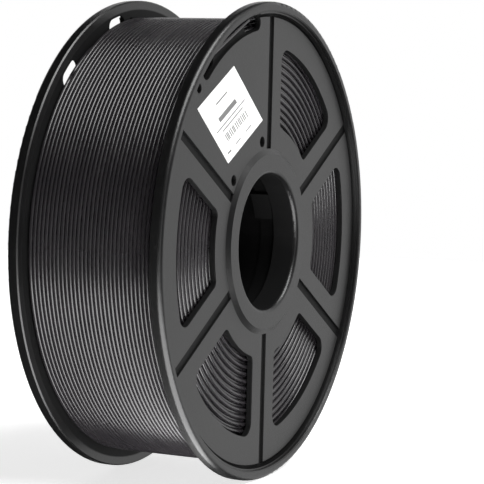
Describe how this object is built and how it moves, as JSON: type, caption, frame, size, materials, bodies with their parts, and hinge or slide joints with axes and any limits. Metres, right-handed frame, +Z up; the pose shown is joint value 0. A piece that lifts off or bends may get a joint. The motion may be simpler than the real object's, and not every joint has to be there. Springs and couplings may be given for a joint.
{
  "type": "filament spool",
  "caption": "Spool of wound 3D-printer filament with two windowed flanges, a central spindle bore, a curved channel with two holes for the loose end and a blank diamond label.",
  "frame": {"origin": "centre of the spool, on the bore's axis and halfway between the two rims", "axes": "+Y along the bore from the labelled front flange to the rear flange, +Z up as the spool stands on its rims, +X to the right as seen from the front"},
  "size_m": [0.2, 0.068, 0.2],
  "materials": {
    "moulding": "fine matt moulded grain",
    "core": "matt moulded",
    "filament": "glossy extruded plastic",
    "paper": "smooth matt paper"
  },
  "bodies": {
    "root": {"front_flange": "moulding", "rear_flange": "moulding", "hub_core": "core", "filament_winding": "filament", "filament_tail": "filament", "label": "paper"}
  },
  "joints": []
}
